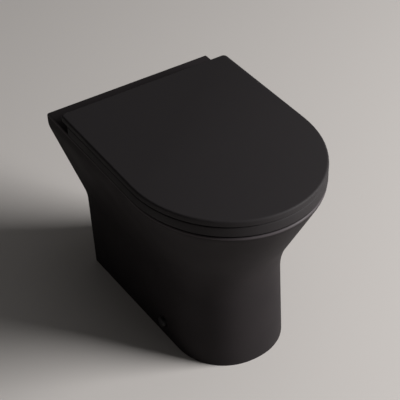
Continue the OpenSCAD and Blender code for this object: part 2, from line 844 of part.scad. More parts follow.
module hinge_block() {
  foot_back = post_setback - post_flange_r;
  foot_front = post_setback + post_flange_r;
  color(plastic_colour)
  difference() {
    union() {
      along_x(block_in, block_out, axis_setback, axis_z, barrel_r);
      translate([block_in, wall_y, 0]) rotate([90, 0, 90])
        linear_extrude(height = block_width)
          polygon([
            [-foot_back, flange_top], [-foot_front, flange_top], [-foot_front, flange_top + 5],
            [-foot_front + 4, flange_top + 9],
            [-axis_setback - barrel_r * sin(32), axis_z + barrel_r * cos(32)],
            [-axis_setback, axis_z], [-axis_setback + 3, axis_z - barrel_r + 1], [-foot_back, flange_top + 2]
          ]);
    }
    // Bore of the damper shaft, with its flat.
    difference() {
      along_x(block_out - shaft_grip - 0.5, block_out + 1, axis_setback, axis_z, shaft_r + thread_gap);
      block_from(block_out - shaft_grip - 2, block_out - 1, axis_setback - flat_cut,
        axis_setback + flat_cut, axis_z + shaft_flat + thread_gap, axis_z + flat_cut);
    }
    // Way in for the post.
    upright(post_x, post_setback, flange_top - 1, head_z + head_h + fit_gap, post_head_r + fit_gap);
    // Slot of the release slider, recess of its button and room for its spring.
    translate([0, 0, slider_z - slider_gap]) linear_extrude(height = slot_h)
      intersection() {
        slider_outline(fit_gap + button_travel);
        translate([block_in - 2, wall_y - post_setback - slider_width / 2 - fit_gap])
          square([block_width, slider_width + 2 * fit_gap]);
      }
    block_from(block_in - 1, block_in - button_out + button_depth + button_travel + fit_gap,
      post_setback - button_width / 2 - fit_gap, post_setback + button_width / 2 + fit_gap,
      button_z - fit_gap, button_z + button_height + fit_gap);
    along_x(spring_x, spring_x + spring_length, post_setback, slider_z + slider_h / 2,
      spring_r + spring_wire_r + fit_gap);
  }
}

module release_button() {
  color(rubber_colour) {
    translate([0, 0, slider_z]) linear_extrude(height = slider_h) slider_outline(0);
    block_from(block_in - button_out, block_in - button_out + button_depth,
      post_setback - button_width / 2, post_setback + button_width / 2, button_z, button_z + button_height);
  }
}

// A coil spring between the slider and the end of its slot.
module button_spring() {
  sides = 6;
  per_turn = 12;
  steps = spring_turns * per_turn;
  end = spring_wire_r + thread_gap;
  y = wall_y - post_setback;
  z = slider_z + slider_h / 2;
  rings = [for (i = [0 : steps])
    let (a = 360 * i / per_turn, x = mix(spring_x + end, spring_x + spring_length - end, i / steps))
    [for (k = [0 : sides - 1])
      let (b = -360 * k / sides, r = spring_r + spring_wire_r * cos(b))
      [x + spring_wire_r * sin(b), y + r * cos(a), z + r * sin(a)]]];
  color(steel_colour) loft(rings);
}

post_tip = 3;
post_chamfer = 0.8;
socket_r = 2.9;
socket_depth = 4;
module hinge_post() {
  thread_r = screw_r - thread_gap;
  foot = pan_height - plug_length - plug_nut_h - post_tip;
  neck_z = slider_z - slider_gap;
  top = head_z + head_h;
  color(steel_colour)
  translate([post_x, wall_y - post_setback, 0])
  difference() {
    rotate_extrude()
      polygon([
        [0, foot], [thread_r - post_chamfer, foot], [thread_r, foot + post_chamfer],
        [thread_r, pan_height + gasket_h], [post_flange_r, pan_height + gasket_h],
        [post_flange_r, flange_top - post_chamfer], [post_flange_r - post_chamfer, flange_top],
        [post_head_r, flange_top], [post_head_r, neck_z], [post_neck_r, neck_z],
        [post_neck_r, head_z], [post_head_r, head_z],
        [post_head_r, top - post_chamfer], [post_head_r - post_chamfer, top], [0, top]
      ]);
    translate([0, 0, top - socket_depth]) cylinder(h = socket_depth + 1, r = socket_r, $fn = 6);
  }
}

module post_gasket() {
  color(rubber_colour)
  difference() {
    upright(post_x, post_setback, pan_height, pan_height + gasket_h, post_flange_r);
    upright(post_x, post_setback, pan_height - 1, pan_height + gasket_h + 1, screw_r + thread_gap);
  }
}

// A rubber sleeve that swells in the deck hole when its nut is drawn up, with grooves round it.
plug_r = deck_hole_r - 0.2;
groove_r = 0.8;
groove_pitch = 3.5;
module expansion_plug() {
  color(rubber_colour)
  translate([post_x, wall_y - post_setback, pan_height - plug_length])
  difference() {
    cylinder(h = plug_length, r = plug_r);
    translate([0, 0, -1]) cylinder(h = plug_length + 2, r = screw_r + thread_gap);
    for (i = [1 : 3])
      translate([0, 0, groove_pitch * i]) rotate_extrude() translate([plug_r, 0]) circle(r = groove_r);
  }
}

module plug_nut() {
  color(brass_colour)
  translate([post_x, wall_y - post_setback, pan_height - plug_length - plug_nut_h])
  difference() {
    cylinder(h = plug_nut_h, r1 = plug_r - 1.3, r2 = plug_r - 0.3);
    translate([0, 0, -1]) cylinder(h = plug_nut_h + 2, r = screw_r);
  }
}

// ---- The floor fixings ----

// Draws its child on a side fixing's axis, with +Z pointing out of the plinth.
module on_fixing() {
  translate([fixing_x, fixing_y, fixing_height]) rotate([0, 90, 0]) children();
}

module floor_bracket() {
  color(steel_colour)
  difference() {
    union() {
      translate([bracket_x - bracket_foot, fixing_y - bracket_length / 2, 0])
        cube([bracket_foot, bracket_length, bracket_steel]);
      translate([bracket_x - bracket_steel, fixing_y - bracket_length / 2, 0])
        cube([bracket_steel, bracket_length, bracket_rise]);
      // Stiffening webs at the two ends of the angle.
      for (end = [-bracket_length / 2 + bracket_steel, bracket_length / 2])
        translate([bracket_x - bracket_steel, fixing_y + end, 0])
          rotate([90, 0, 0]) linear_extrude(height = bracket_steel)
            polygon([[0, 0], [-web_foot, 0], [-web_foot, bracket_steel], [0, web_rise]]);
    }
    for (s = [-1, 1])
      translate([bracket_x - bracket_hole_in, fixing_y + s * bracket_hole_spacing / 2, -1])
        cylinder(h = bracket_steel + 2, r = bracket_hole_r);
    translate([bracket_x - bracket_steel - 1, fixing_y, fixing_height]) rotate([0, 90, 0])
      cylinder(h = bracket_steel + 2, r = bracket_nut_r);
  }
}

// The nylon nut that is held in the bracket, with a collar on the screw's side.
module bracket_nut() {
  color(nylon_colour)
  translate([bracket_x, fixing_y, fixing_height]) rotate([0, -90, 0])
  difference() {
    union() {
      cylinder(h = bracket_nut_length, r = bracket_nut_r - thread_gap);
      translate([0, 0, -nut_collar_h]) cylinder(h = nut_collar_h, r = nut_collar_r);
    }
    translate([0, 0, -2]) cylinder(h = bracket_nut_length + 3, r = screw_r);
  }
}

module side_screw() {
  length = pan_wall + bracket_stand_off + bracket_nut_length + screw_tip;
  thread_r = screw_r - thread_gap;
  top = washer_h + screw_head_h;
  color(steel_colour)
  on_fixing()
  difference() {
    rotate_extrude()
      polygon([
        [0, -length], [thread_r - screw_chamfer, -length], [thread_r, -length + screw_chamfer],
        [thread_r, washer_h], [screw_head_r, washer_h],
        [screw_head_r, top - screw_chamfer], [screw_head_r - screw_chamfer, top], [0, top]
      ]);
    translate([0, 0, washer_h + 1]) cylinder(h = screw_head_h, r = screw_socket_r, $fn = 6);
  }
}

// A cup washer with a collar that centres the screw in the plinth's hole.
module cup_washer() {
  color(nylon_colour)
  on_fixing()
  difference() {
    union() {
      cylinder(h = washer_h, r = washer_r);
      translate([0, 0, -washer_collar]) cylinder(h = washer_collar, r = fixing_hole_r - 0.2);
    }
    translate([0, 0, -washer_collar - 1])
      cylinder(h = washer_h + washer_collar + 2, r = screw_r + thread_gap);
  }
}

// A domed cap that pushes over the cup washer.
cap_round = 3.5;
cap_wall = 1.8;
module screw_cap() {
  inner = washer_r + running_gap;
  ceiling = cap_height - cap_wall;
  color(plastic_colour)
  on_fixing()
  rotate_extrude()
    polygon(concat(
      [[inner, 0], [cap_r, 0]],
      [for (a = [0 : 15 : 90])
        [cap_r - cap_round * (1 - cos(a)), cap_height - cap_round * (1 - sin(a))]],
      [[0, cap_height], [0, ceiling], [inner - cap_wall, ceiling], [inner, ceiling - cap_wall]]
    ));
}

// ---- Left and right ----

module left_hinge_block() { on_side("left") hinge_block(); }
module right_hinge_block() { on_side("right") hinge_block(); }
module left_hinge_post() { on_side("left") hinge_post(); }
module right_hinge_post() { on_side("right") hinge_post(); }
module left_trapway() { on_side("left") trapway_half(); }
module right_trapway() { on_side("right") trapway_half(); }
module left_post_gasket() { on_side("left") post_gasket(); }
module right_post_gasket() { on_side("right") post_gasket(); }
module left_expansion_plug() { on_side("left") expansion_plug(); }
module right_expansion_plug() { on_side("right") expansion_plug(); }
module left_plug_nut() { on_side("left") plug_nut(); }
module right_plug_nut() { on_side("right") plug_nut(); }
module left_release_button() { on_side("left") release_button(); }
module right_release_button() { on_side("right") release_button(); }
module left_button_spring() { on_side("left") button_spring(); }
module right_button_spring() { on_side("right") button_spring(); }
module left_floor_bracket() { on_side("left") floor_bracket(); }
module right_floor_bracket() { on_side("right") floor_bracket(); }
module left_bracket_nut() { on_side("left") bracket_nut(); }
module right_bracket_nut() { on_side("right") bracket_nut(); }
module left_side_screw() { on_side("left") side_screw(); }
module right_side_screw() { on_side("right") side_screw(); }
module left_cup_washer() { on_side("left") cup_washer(); }
module right_cup_washer() { on_side("right") cup_washer(); }
module left_screw_cap() { on_side("left") screw_cap(); }
module right_screw_cap() { on_side("right") screw_cap(); }

pan_shell();
bowl();
left_trapway();
right_trapway();
outlet_spigot();
flush_duct();
flush_spreader();
seat_ring();
lid();
seat_buffers();
lid_buffers();
left_hinge_block();
right_hinge_block();
left_hinge_post();
right_hinge_post();
left_post_gasket();
right_post_gasket();
left_expansion_plug();
right_expansion_plug();
left_plug_nut();
right_plug_nut();
left_release_button();
right_release_button();
left_button_spring();
right_button_spring();
lid_damper();
seat_damper();
lid_damper_shaft();
seat_damper_shaft();
left_floor_bracket();
right_floor_bracket();
left_bracket_nut();
right_bracket_nut();
left_side_screw();
right_side_screw();
left_cup_washer();
right_cup_washer();
left_screw_cap();
right_screw_cap();
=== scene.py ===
"""A floor-standing, back-to-wall toilet pan in matt black, with its seat, lid, hinges and fixings.

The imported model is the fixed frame. Each sub-assembly is a class that models its pieces over the frame's
nodes, dresses them and makes them ride on the bodies that carry them. Places are in metres, and sizes in
millimetres where their names end in _mm. Right-hand pieces are modelled and then copied to the left.
"""

import logging
import math
from collections.abc import Callable, Iterator, Sequence
from contextlib import contextmanager
from dataclasses import dataclass
from enum import Enum

import bmesh
import bpy
from mathutils import Matrix, Vector


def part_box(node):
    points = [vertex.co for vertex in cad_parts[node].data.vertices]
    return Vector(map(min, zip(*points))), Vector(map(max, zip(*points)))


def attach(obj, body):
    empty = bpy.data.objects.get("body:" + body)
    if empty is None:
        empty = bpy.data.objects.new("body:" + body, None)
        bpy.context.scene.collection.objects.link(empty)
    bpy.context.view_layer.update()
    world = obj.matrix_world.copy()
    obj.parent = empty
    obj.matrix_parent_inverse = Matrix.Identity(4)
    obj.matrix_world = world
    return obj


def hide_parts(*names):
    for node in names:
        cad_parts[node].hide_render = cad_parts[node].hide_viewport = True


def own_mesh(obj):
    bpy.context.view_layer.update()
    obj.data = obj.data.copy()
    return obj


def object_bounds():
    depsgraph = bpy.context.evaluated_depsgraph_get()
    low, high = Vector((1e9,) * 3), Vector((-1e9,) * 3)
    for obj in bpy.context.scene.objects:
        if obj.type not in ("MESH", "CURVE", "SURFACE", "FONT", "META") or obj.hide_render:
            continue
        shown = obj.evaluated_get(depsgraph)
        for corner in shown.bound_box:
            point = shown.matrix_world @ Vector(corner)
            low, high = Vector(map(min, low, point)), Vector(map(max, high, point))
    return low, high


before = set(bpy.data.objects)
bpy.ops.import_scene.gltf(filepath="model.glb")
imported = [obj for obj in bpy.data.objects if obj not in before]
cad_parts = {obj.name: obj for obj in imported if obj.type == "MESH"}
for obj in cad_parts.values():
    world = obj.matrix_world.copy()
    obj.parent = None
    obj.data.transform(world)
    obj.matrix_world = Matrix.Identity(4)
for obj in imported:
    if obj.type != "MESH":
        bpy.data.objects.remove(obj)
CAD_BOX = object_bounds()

MM = 0.001
# Points of a copied or cut mesh that lie nearer than this are one.
WELD_MM = 0.002
# The same for turned and mirrored pieces, and how near a face lies to the plane in which it is looked for.
CLOSE_MM = 0.01
# In degrees: faces that meet at less are one flat face.
FLAT = 0.2
# In degrees: faces that meet at less are one curve, on a turned piece and on any other.
TURNED_CURVE, CURVE = 30.0, 32.0
# In degrees: edges that are sharper are rounded.
SHARP = 50.0
# In degrees: hex sockets are turned so far, and their corners miss the edges of the turned piece.
SOCKET_TURN = 13.0
# Nearly all of a noise lies between these two values.
NOISE_LOW, NOISE_HIGH = 0.3, 0.7
# How far a noise is broken up: a single layer, or down to speckles.
PLAIN, SPECKLED = 1.0, 3.0
Profile = Sequence[tuple[float, float]]
log = logging.getLogger("pan")


class Element(Enum):
    """What an edit-mode selection is made of."""

    POINTS = "VERT"
    FACES = "FACE"


class Join(Enum):
    """How two pieces are made one."""

    UNITE = "UNION"
    CUT = "DIFFERENCE"


class Body(Enum):
    """The bodies that pieces ride on."""

    PAN = "pan_assembly"
    SEAT = "seat_assembly"
    LID = "lid_assembly"
    LEFT_BUTTON = "left_button"
    RIGHT_BUTTON = "right_button"
    LEFT_CAP = "left_cap"
    RIGHT_CAP = "right_cap"


ON_PAN = (Body.PAN, Body.PAN)


# ---- Finishes ----


def linear(hex_colour: str) -> tuple[float, float, float, float]:
    """Turns an sRGB colour into linear values.

    Args:
        hex_colour: the colour, such as "#232122".

    Returns:
        Red, green, blue and an alpha of 1.
    """
    shares = [int(hex_colour[i : i + 2], 16) / 255 for i in (1, 3, 5)]
    red, green, blue = (s / 12.92 if s <= 0.04045 else ((s + 0.055) / 1.055) ** 2.4 for s in shares)
    return red, green, blue, 1.0


def add_node(
    tree: bpy.types.NodeTree, kind: str, settings: dict | None = None, links: dict | None = None
) -> bpy.types.Node:
    """Adds a node, gives it its settings and links its inputs.

    Args:
        tree: the tree that gets the node.
        kind: the node's type, without the ShaderNode in front.
        settings: values by the name of a property, or else by the name or number of an input.
        links: output sockets by the name or number of the input that takes them.

    Returns:
        The new node.
    """
    node = tree.nodes.new("ShaderNode" + kind)
    for name, value in (settings or {}).items():
        if isinstance(name, str) and name in node.bl_rna.properties:
            setattr(node, name, value)
        else:
            node.inputs[name].default_value = value
    for name, socket in (links or {}).items():
        tree.links.new(socket, node.inputs[name])
    return node


@dataclass(frozen=True)
class Finish:
    """A finish: what a surface is made of and how it was made.

    Attributes:
        name: the material's name.
        slot: the record's material slot that it dresses.
        colour: the mean colour in sRGB.
        roughness: the mean roughness.
    """

    name: str
    slot: str
    colour: str
    roughness: float

    def material(self) -> bpy.types.Material:
        """Makes the material the first time that a piece asks for it.

        Returns:
            The material.
        """
        found = bpy.data.materials.get(self.name)
        if found:
            return found
        material = bpy.data.materials.new(self.name)
        material.use_nodes = True
        material.diffuse_color = linear(self.colour)
        tree = material.node_tree
        shader = tree.nodes["Principled BSDF"]
        shader.inputs["Base Color"].default_value = linear(self.colour)
        shader.inputs["Roughness"].default_value = self.roughness
        place = add_node(tree, "TexCoord").outputs["Object"]
        self.dress(tree, shader, place)
        return material

    def dress(self, tree: bpy.types.NodeTree, shader: bpy.types.Node, place: bpy.types.NodeSocket) -> None:
        """Adds the finish's own pattern, colour and relief.

        Args:
            tree: the material's nodes.
            shader: the surface shader.
            place: the object coordinates, in metres.
        """
        raise NotImplementedError

    def gloss_range(self, satin: float) -> dict[str, float]:
        """Returns the range that turns noise into a roughness, up to satin off the mean one."""
        ends = {"To Min": self.roughness - satin, "To Max": self.roughness + satin}
        return {"From Min": NOISE_LOW, "From Max": NOISE_HIGH} | ends


@dataclass(frozen=True)
class Glaze(Finish):
    """A matt glaze, sprayed and fired on vitreous china: an even skin with a faint orange peel.

    Attributes:
        thin_colour: the colour where the spray lies thinner.
        ior: the glaze's index of refraction.
        drift_mm: the size of the patches in which the spray varies.
        peel_mm: the size of the orange peel, drawn coarser than the real 1 mm so that it shows.
        peel_depth_mm: the depth of the orange peel.
        satin: how much the roughness varies from patch to patch.
        painted_highlight_colour: a paler colour painted on the rim's rounded edge as a highlight.
        edge_roughness: the roughness there.
        highlight_band: the heights of the rim's rounded edge, which gets the painted highlight and the edge
            roughness:
            where it begins, where it is full, where it starts to fade and where it ends, just below the flat
            of the deck.
    """

    thin_colour: str
    ior: float
    drift_mm: float = 90.0
    peel_mm: float = 3.0
    peel_depth_mm: float = 0.02
    satin: float = 0.04
    painted_highlight_colour: str = "#494446"
    edge_roughness: float = 0.4
    highlight_band: tuple[float, float, float, float] = (0.3945, 0.3970, 0.3992, 0.3998)

    def dress(self, tree: bpy.types.NodeTree, shader: bpy.types.Node, place: bpy.types.NodeSocket) -> None:
        """Adds the drift in colour and gloss, the orange peel, and a painted highlight with a lower
        roughness on the rim's rounded edge.

        Args:
            tree: the material's nodes.
            shader: the surface shader.
            place: the object coordinates, in metres.
        """
        shader.inputs["IOR"].default_value = self.ior
        at = {"Vector": place}
        drift = add_node(tree, "TexNoise", {"Scale": 1 / (self.drift_mm * MM)}, at)
        peel = add_node(tree, "TexNoise", {"Scale": 1 / (self.peel_mm * MM), "Detail": PLAIN}, at)
        colours = {"data_type": "RGBA", 6: linear(self.colour), 7: linear(self.thin_colour)}
        tint = add_node(tree, "Mix", colours, {0: drift.outputs["Fac"]})
        sheen = add_node(tree, "MapRange", self.gloss_range(self.satin), {"Value": drift.outputs["Fac"]})
        relief = add_node(
            tree, "Bump", {"Distance": self.peel_depth_mm * MM}, {"Height": peel.outputs["Fac"]}
        )
        # Painted highlight: a paler colour is mixed in over the rim's rounded edge, and the roughness drops
        # there.
        begin, full, last, end = self.highlight_band
        height = {"Value": add_node(tree, "SeparateXYZ", links={0: place}).outputs["Z"]}
        rise = add_node(tree, "MapRange", {"From Min": begin, "From Max": full}, height)
        below = {"From Min": last, "From Max": end, "To Min": 1.0, "To Max": 0.0}
        fall = add_node(tree, "MapRange", below, height)
        edge = add_node(
            tree, "Math", {"operation": "MULTIPLY"}, {0: rise.outputs["Result"], 1: fall.outputs["Result"]}
        ).outputs[0]
        colour = add_node(
            tree, "Mix", {"data_type": "RGBA", 7: linear(self.painted_highlight_colour)}, {0: edge, 6: tint.outputs[2]}
        )
        rough = add_node(tree, "Mix", {3: self.edge_roughness}, {0: edge, 2: sheen.outputs["Result"]})
        tree.links.new(colour.outputs[2], shader.inputs["Base Color"])
        tree.links.new(rough.outputs[0], shader.inputs["Roughness"])
        tree.links.new(relief.outputs["Normal"], shader.inputs["Normal"])


@dataclass(frozen=True)
class Biscuit(Finish):
    """Fired clay that was never glazed, as inside the skirt: chalky, speckled and dusted with glaze.

    Attributes:
        dust_colour: the colour of the glaze's overspray.
        speckle_mm: the size of the speckles.
        dust_mm: the size of the overspray's drifts.
        grit_mm: the size of the clay's grit.
        grit_depth_mm: the grit's depth.
        depths: two distances behind the pan's middle, between which the overspray thickens.
        amounts: how much overspray there is at those two distances.
        settled: the sums of overspray and noise between which bare clay turns to glaze.
    """

    dust_colour: str = "#2a2727"
    speckle_mm: float = 1.6
    dust_mm: float = 60.0
    grit_mm: float = 0.9
    grit_depth_mm: float = 0.08
    depths: tuple[float, float] = (0.05, 0.275)
    amounts: tuple[float, float] = (0.1, 0.42)
    settled: tuple[float, float] = (1.2, 1.6)

    def dress(self, tree: bpy.types.NodeTree, shader: bpy.types.Node, place: bpy.types.NodeSocket) -> None:
        """Adds the overspray, which thickens towards the open back, and the clay's grit.

        Args:
            tree: the material's nodes.
            shader: the surface shader.
            place: the object coordinates, in metres.
        """
        at = {"Vector": place}
        speckle = add_node(tree, "TexNoise", {"Scale": 1 / (self.speckle_mm * MM), "Detail": SPECKLED}, at)
        drift = add_node(tree, "TexNoise", {"Scale": 1 / (self.dust_mm * MM), "Detail": SPECKLED}, at)
        grit = add_node(tree, "TexNoise", {"Scale": 1 / (self.grit_mm * MM)}, at)
        depth = add_node(tree, "SeparateXYZ", links={0: place})
        (front, back), (least, most), (bare, glazed) = self.depths, self.amounts, self.settled
        near = add_node(
            tree, "MapRange", {"From Min": front, "From Max": back, "To Min": least, "To Max": most},
            {"Value": depth.outputs["Y"]},
        )
        cover = add_node(
            tree, "Math", {"operation": "ADD"}, {0: near.outputs["Result"], 1: drift.outputs["Fac"]}
        )
        grain = add_node(
            tree, "Math", {"operation": "ADD"}, {0: cover.outputs[0], 1: speckle.outputs["Fac"]}
        )
        share = add_node(
            tree, "MapRange", {"From Min": bare, "From Max": glazed, "interpolation_type": "SMOOTHSTEP"},
            {"Value": grain.outputs[0]},
        )
        colours = {"data_type": "RGBA", 6: linear(self.colour), 7: linear(self.dust_colour)}
        tint = add_node(tree, "Mix", colours, {0: share.outputs["Result"]})
        relief = add_node(
            tree, "Bump", {"Distance": self.grit_depth_mm * MM}, {"Height": grit.outputs["Fac"]}
        )
        tree.links.new(tint.outputs[2], shader.inputs["Base Color"])
        tree.links.new(relief.outputs["Normal"], shader.inputs["Normal"])


@dataclass(frozen=True)
class Moulding(Finish):
    """A moulded plastic or rubber, whose mould left a fine even grain.

    Attributes:
        shade_colour: the colour in the slightly duller drifts.
        ior: the index of refraction.
        grain_mm: the size of the mould's grain, drawn coarser than the real 0.1 mm so that it shows.
        grain_depth_mm: the grain's depth.
        flow_mm: the size of the drifts that the flow into the mould left.
        satin: how much the roughness varies.
    """

    shade_colour: str
    ior: float = 1.5
    grain_mm: float = 0.7
    grain_depth_mm: float = 0.012
    flow_mm: float = 70.0
    satin: float = 0.04

    def dress(self, tree: bpy.types.NodeTree, shader: bpy.types.Node, place: bpy.types.NodeSocket) -> None:
        """Adds the flow drifts in colour and gloss, and the mould's grain.

        Args:
            tree: the material's nodes.
            shader: the surface shader.
            place: the object coordinates, in metres.
        """
        shader.inputs["IOR"].default_value = self.ior
        at = {"Vector": place}
        flow = add_node(tree, "TexNoise", {"Scale": 1 / (self.flow_mm * MM)}, at)
        grain = add_node(tree, "TexNoise", {"Scale": 1 / (self.grain_mm * MM), "Detail": PLAIN}, at)
        colours = {"data_type": "RGBA", 6: linear(self.colour), 7: linear(self.shade_colour)}
        tint = add_node(tree, "Mix", colours, {0: flow.outputs["Fac"]})
        sheen = add_node(tree, "MapRange", self.gloss_range(self.satin), {"Value": flow.outputs["Fac"]})
        relief = add_node(
            tree, "Bump", {"Distance": self.grain_depth_mm * MM}, {"Height": grain.outputs["Fac"]}
        )
        tree.links.new(tint.outputs[2], shader.inputs["Base Color"])
        tree.links.new(sheen.outputs["Result"], shader.inputs["Roughness"])
        tree.links.new(relief.outputs["Normal"], shader.inputs["Normal"])


@dataclass(frozen=True)
class Metal(Finish):
    """A bare or plated metal with the marks of its making.

    Attributes:
        tarnish_colour: the colour of its duller patches.
        tarnish_mm: the size of those patches.
        mark_mm: the size of the tool marks.
        stretch: how many times longer the tool marks are along each axis.
        mark_depth_mm: the depth of the tool marks.
        satin: how much the roughness varies.
    """

    tarnish_colour: str
    tarnish_mm: float = 9.0
    mark_mm: float = 0.5
    stretch: tuple[float, float, float] = (1.0, 1.0, 1.0)
    mark_depth_mm: float = 0.01
    satin: float = 0.08

    def dress(self, tree: bpy.types.NodeTree, shader: bpy.types.Node, place: bpy.types.NodeSocket) -> None:
        """Adds the tarnish, the change of gloss and the tool marks.

        Args:
            tree: the material's nodes.
            shader: the surface shader.
            place: the object coordinates, in metres.
        """
        shader.inputs["Metallic"].default_value = 1.0
        at = {"Vector": place}
        patch = add_node(tree, "TexNoise", {"Scale": 1 / (self.tarnish_mm * MM), "Detail": SPECKLED}, at)
        drawn = add_node(tree, "Mapping", {"Scale": tuple(1 / s for s in self.stretch)}, at)
        at = {"Vector": drawn.outputs["Vector"]}
        marks = add_node(tree, "TexNoise", {"Scale": 1 / (self.mark_mm * MM)}, at)
        ends = {"From Min": NOISE_LOW, "From Max": NOISE_HIGH}
        share = add_node(tree, "MapRange", ends, {"Value": patch.outputs["Fac"]})
        colours = {"data_type": "RGBA", 6: linear(self.colour), 7: linear(self.tarnish_colour)}
        tint = add_node(tree, "Mix", colours, {0: share.outputs["Result"]})
        sheen = add_node(tree, "MapRange", self.gloss_range(self.satin), {"Value": marks.outputs["Fac"]})
        relief = add_node(
            tree, "Bump", {"Distance": self.mark_depth_mm * MM}, {"Height": marks.outputs["Fac"]}
        )
        tree.links.new(tint.outputs[2], shader.inputs["Base Color"])
        tree.links.new(sheen.outputs["Result"], shader.inputs["Roughness"])
        tree.links.new(relief.outputs["Normal"], shader.inputs["Normal"])


# Matt glaze on vitreous china: a deep, warm black with soft, broad reflections.
MATT_GLAZE = Glaze("matt_glaze_on_china", "black_glaze", "#292526", 0.7, thin_colour="#242122", ior=1.2)
# Unglazed clay: chalky and pale, which shows that the glaze stops at the skirt's edge.
RAW_CLAY = Biscuit("unglazed_clay", "black_glaze", "#a39b90", 0.9)
# Compression-moulded urea: hard and dense, as black as the glaze, with a slightly stronger, evener sheen.
UREA = Moulding("moulded_urea", "seat_resin", "#282526", 0.7, shade_colour="#242122", ior=1.3)
# Injection-moulded acetal: a little darker and slicker than the seat.
ACETAL = Moulding("moulded_acetal", "black_plastic", "#1d1b1c", 0.5, shade_colour="#191718", flow_mm=20.0)
# The same acetal with a grey dye, which tells the thumb where the buttons are.
GREY_ACETAL = Moulding(
    "grey_moulded_acetal", "grey_plastic", "#4a4a4c", 0.45, shade_colour="#404042", flow_mm=8.0
)
# Undyed nylon: waxy and slightly yellow.
NYLON = Moulding(
    "natural_nylon", "white_nylon", "#d6d1c3", 0.38, shade_colour="#cbc5b4", ior=1.53, flow_mm=9.0
)
# Moulded rubber, black for the pads and grey for the gaskets and plugs: no gloss at all.
BLACK_RUBBER = Moulding(
    "moulded_black_rubber", "black_rubber", "#2a2a2b", 0.85, shade_colour="#242425", ior=1.52,
    grain_depth_mm=0.03,
)
GREY_RUBBER = Moulding(
    "moulded_grey_rubber", "grey_rubber", "#4a4a4d", 0.85, shade_colour="#3f3f42", ior=1.52,
    grain_depth_mm=0.03,
)
# Turned stainless steel: bright, with rings that the tool left round the axis.
TURNED_STEEL = Metal(
    "turned_stainless_steel", "stainless_steel", "#b8b9bb", 0.3, tarnish_colour="#a3a4a6",
    stretch=(12.0, 12.0, 1.0),
)
# Drawn stainless bar: duller than the turned posts, with fine marks along its length.
DRAWN_STEEL = Metal(
    "drawn_stainless_bar", "stainless_steel", "#b0b1b3", 0.36, tarnish_colour="#a0a1a3",
    stretch=(14.0, 1.0, 1.0), satin=0.05,
)
# Zinc-plated steel: bluish, with the faint cloudiness of the passivation.
ZINC_PLATE = Metal(
    "zinc_plated_steel", "zinc_steel", "#b3b8be", 0.36, tarnish_colour="#a6a79b", tarnish_mm=6.0
)
# Drawn wire: grey, with marks along its length.
SPRING_WIRE = Metal(
    "drawn_spring_wire", "spring_steel", "#a2a3a6", 0.32, tarnish_colour="#8a8c90", tarnish_mm=3.0,
    stretch=(6.0, 1.0, 1.0),
)
# Turned brass: yellow and a little dulled.
TURNED_BRASS = Metal(
    "turned_brass", "brass", "#c3a35c", 0.3, tarnish_colour="#a2824a", stretch=(12.0, 12.0, 1.0)
)


# ---- The bench ----


def deselect_all() -> None:
    """Leaves edit mode and deselects every object."""
    if bpy.context.object and bpy.context.object.mode == "EDIT":
        bpy.ops.object.mode_set(mode="OBJECT")
    bpy.ops.object.select_all(action="DESELECT")


def thread(crest: float, depth: float, start: float, end: float, pitch: float = 1.0) -> Profile:
    """Draws a screw thread as a row of ridges.

    Args:
        crest: the radius of the ridges, in mm.
        depth: how deep the thread is cut, in mm.
        start: the height at which it starts, in mm.
        end: the height at which it ends, in mm.
        pitch: the distance between ridges, in mm.

    Returns:
        The radius and height of each point, in mm.
    """
    turns = round((end - start) / pitch)
    step = (end - start) / turns
    ridges = [
        point
        for turn in range(turns)
        for point in ((crest - depth, start + turn * step), (crest, start + (turn + 0.5) * step))
    ]
    return ridges + [(crest - depth, end)]


def rounding(radius: float, height: float, rise: float, steps: int = 8) -> Profile:
    """Draws the quarter circle that rounds the top edge of a turned piece.

    Args:
        radius: the radius under the rounding, in mm.
        height: the height of the top, in mm.
        rise: the radius of the rounding, in mm.
        steps: how many steps it takes.

    Returns:
        The radius and height of each point, in mm.
    """
    angles = [math.pi / 2 * step / steps for step in range(steps + 1)]
    return [(radius - rise * (1 - math.cos(a)), height - rise * (1 - math.sin(a))) for a in angles]


def groove(radius: float, height: float) -> Profile:
    """Draws a round groove at a height on a turned side, both in mm."""
    shape = ((0, -0.8), (0.55, -0.56), (0.8, 0), (0.55, 0.56), (0, 0.8))
    return [(radius - sink, height + rise) for sink, rise in shape]


